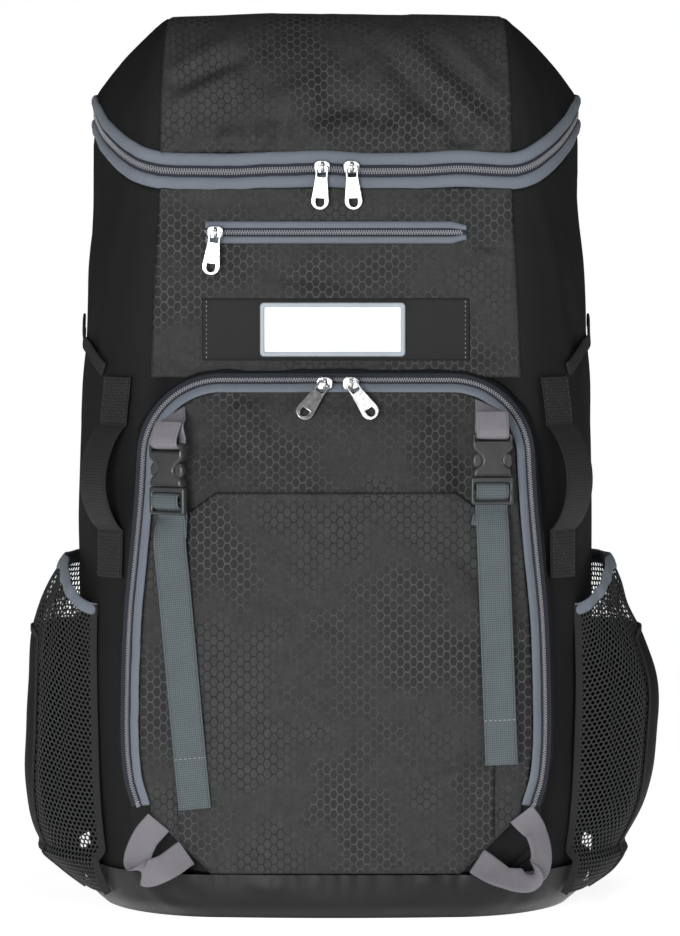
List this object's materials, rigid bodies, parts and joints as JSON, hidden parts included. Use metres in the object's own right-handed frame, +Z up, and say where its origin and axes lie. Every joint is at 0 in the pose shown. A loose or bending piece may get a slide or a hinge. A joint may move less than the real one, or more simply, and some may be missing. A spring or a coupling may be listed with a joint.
{
  "type": "baseball bat backpack",
  "caption": "Soft sports backpack with a zip-round lid, zipped front compartment, net side pockets, bat loops, front buckles and shoulder straps.",
  "frame": {"origin": "on the floor under the bag, on the body's middle line, at the flat underside of the base", "axes": "+Z up from the floor, +Y from the front to the back panel that lies on the wearer, +X to the right as the front is seen"},
  "size_m": [0.399, 0.3235, 0.5571],
  "materials": {
    "plain_cloth": "matt plain weave",
    "honeycomb_cloth": "matt cloth with a printed honeycomb pattern",
    "coated_cloth": "coated, satin gloss",
    "zip_tape": "woven tape",
    "zip_coil": "nylon coil",
    "grey_webbing": "woven webbing",
    "pale_webbing": "woven webbing",
    "black_webbing": "ribbed webbing",
    "buckle": "moulded plastic, satin",
    "metal": "satin cast metal",
    "label": "satin, left bare",
    "label_edge": "satin",
    "net": "knitted net"
  },
  "bodies": {
    "bag": {"body_shell": "plain_cloth", "base_boot": "coated_cloth", "front_panel": "honeycomb_cloth", "lid_shell": "plain_cloth", "lid_front_panel": "honeycomb_cloth", "lid_zip_lower_tape": "zip_tape", "lid_zip_coil": "zip_coil", "lid_zip_upper_tape": "zip_tape", "front_compartment": "plain_cloth", "face_panel": "honeycomb_cloth", "slip_pocket": "honeycomb_cloth", "u_zip_coil": "zip_coil", "u_zip_binding": "zip_tape", "slit_zip_tape": "zip_tape", "slit_zip_coil": "zip_coil", "label_patch": "plain_cloth", "label_frame": "label_edge", "label_face": "label", "slit_slider": "metal", "back_panel": "plain_cloth", "haul_loop": "black_webbing", "lid_slider_left": "metal", "u_slider_left": "metal", "buckle_female_left": "buckle", "buckle_male_left": "buckle", "top_webbing_left": "pale_webbing", "tension_strap_left": "grey_webbing", "corner_loop_left": "pale_webbing", "bat_loop_left": "black_webbing", "side_lip_left": "plain_cloth", "side_net_left": "net", "side_pouch_left": "plain_cloth", "net_binding_left": "zip_tape", "shoulder_strap_left": "plain_cloth", "strap_adjuster_left": "buckle", "lower_webbing_left": "black_webbing", "lid_slider_right": "metal", "u_slider_right": "metal", "buckle_female_right": "buckle", "buckle_male_right": "buckle", "top_webbing_right": "pale_webbing", "tension_strap_right": "grey_webbing", "corner_loop_right": "pale_webbing", "bat_loop_right": "black_webbing", "side_lip_right": "plain_cloth", "side_net_right": "net", "side_pouch_right": "plain_cloth", "net_binding_right": "zip_tape", "shoulder_strap_right": "plain_cloth", "strap_adjuster_right": "buckle", "lower_webbing_right": "black_webbing"},
    "lid_pull_left": {"lid_pull_left": "metal"},
    "lid_pull_right": {"lid_pull_right": "metal"},
    "slit_pull": {"slit_pull": "metal"},
    "u_pull_left": {"u_pull_left": "metal"},
    "u_pull_right": {"u_pull_right": "metal"}
  },
  "joints": [
    {"name": "lid_pull_left_swing", "type": "hinge", "parent": "bag", "child": "lid_pull_left", "pos_m": [-0.0085, -0.09219, 0.461], "axis": [-1, 0, 0], "range_deg": [0, 150]},
    {"name": "lid_pull_right_swing", "type": "hinge", "parent": "bag", "child": "lid_pull_right", "pos_m": [0.0095, -0.09218, 0.461], "axis": [-1, 0, 0], "range_deg": [0, 150]},
    {"name": "slit_pull_swing", "type": "hinge", "parent": "bag", "child": "slit_pull", "pos_m": [-0.074, -0.09495, 0.421], "axis": [-1, 0, 0], "range_deg": [0, 150]},
    {"name": "u_pull_left_swing", "type": "hinge", "parent": "bag", "child": "u_pull_left", "pos_m": [-0.007, -0.11, 0.329], "axis": [-1, 0, 0], "range_deg": [0, 150]},
    {"name": "u_pull_right_swing", "type": "hinge", "parent": "bag", "child": "u_pull_right", "pos_m": [0.009, -0.11, 0.329], "axis": [-1, 0, 0], "range_deg": [0, 150]}
  ]
}
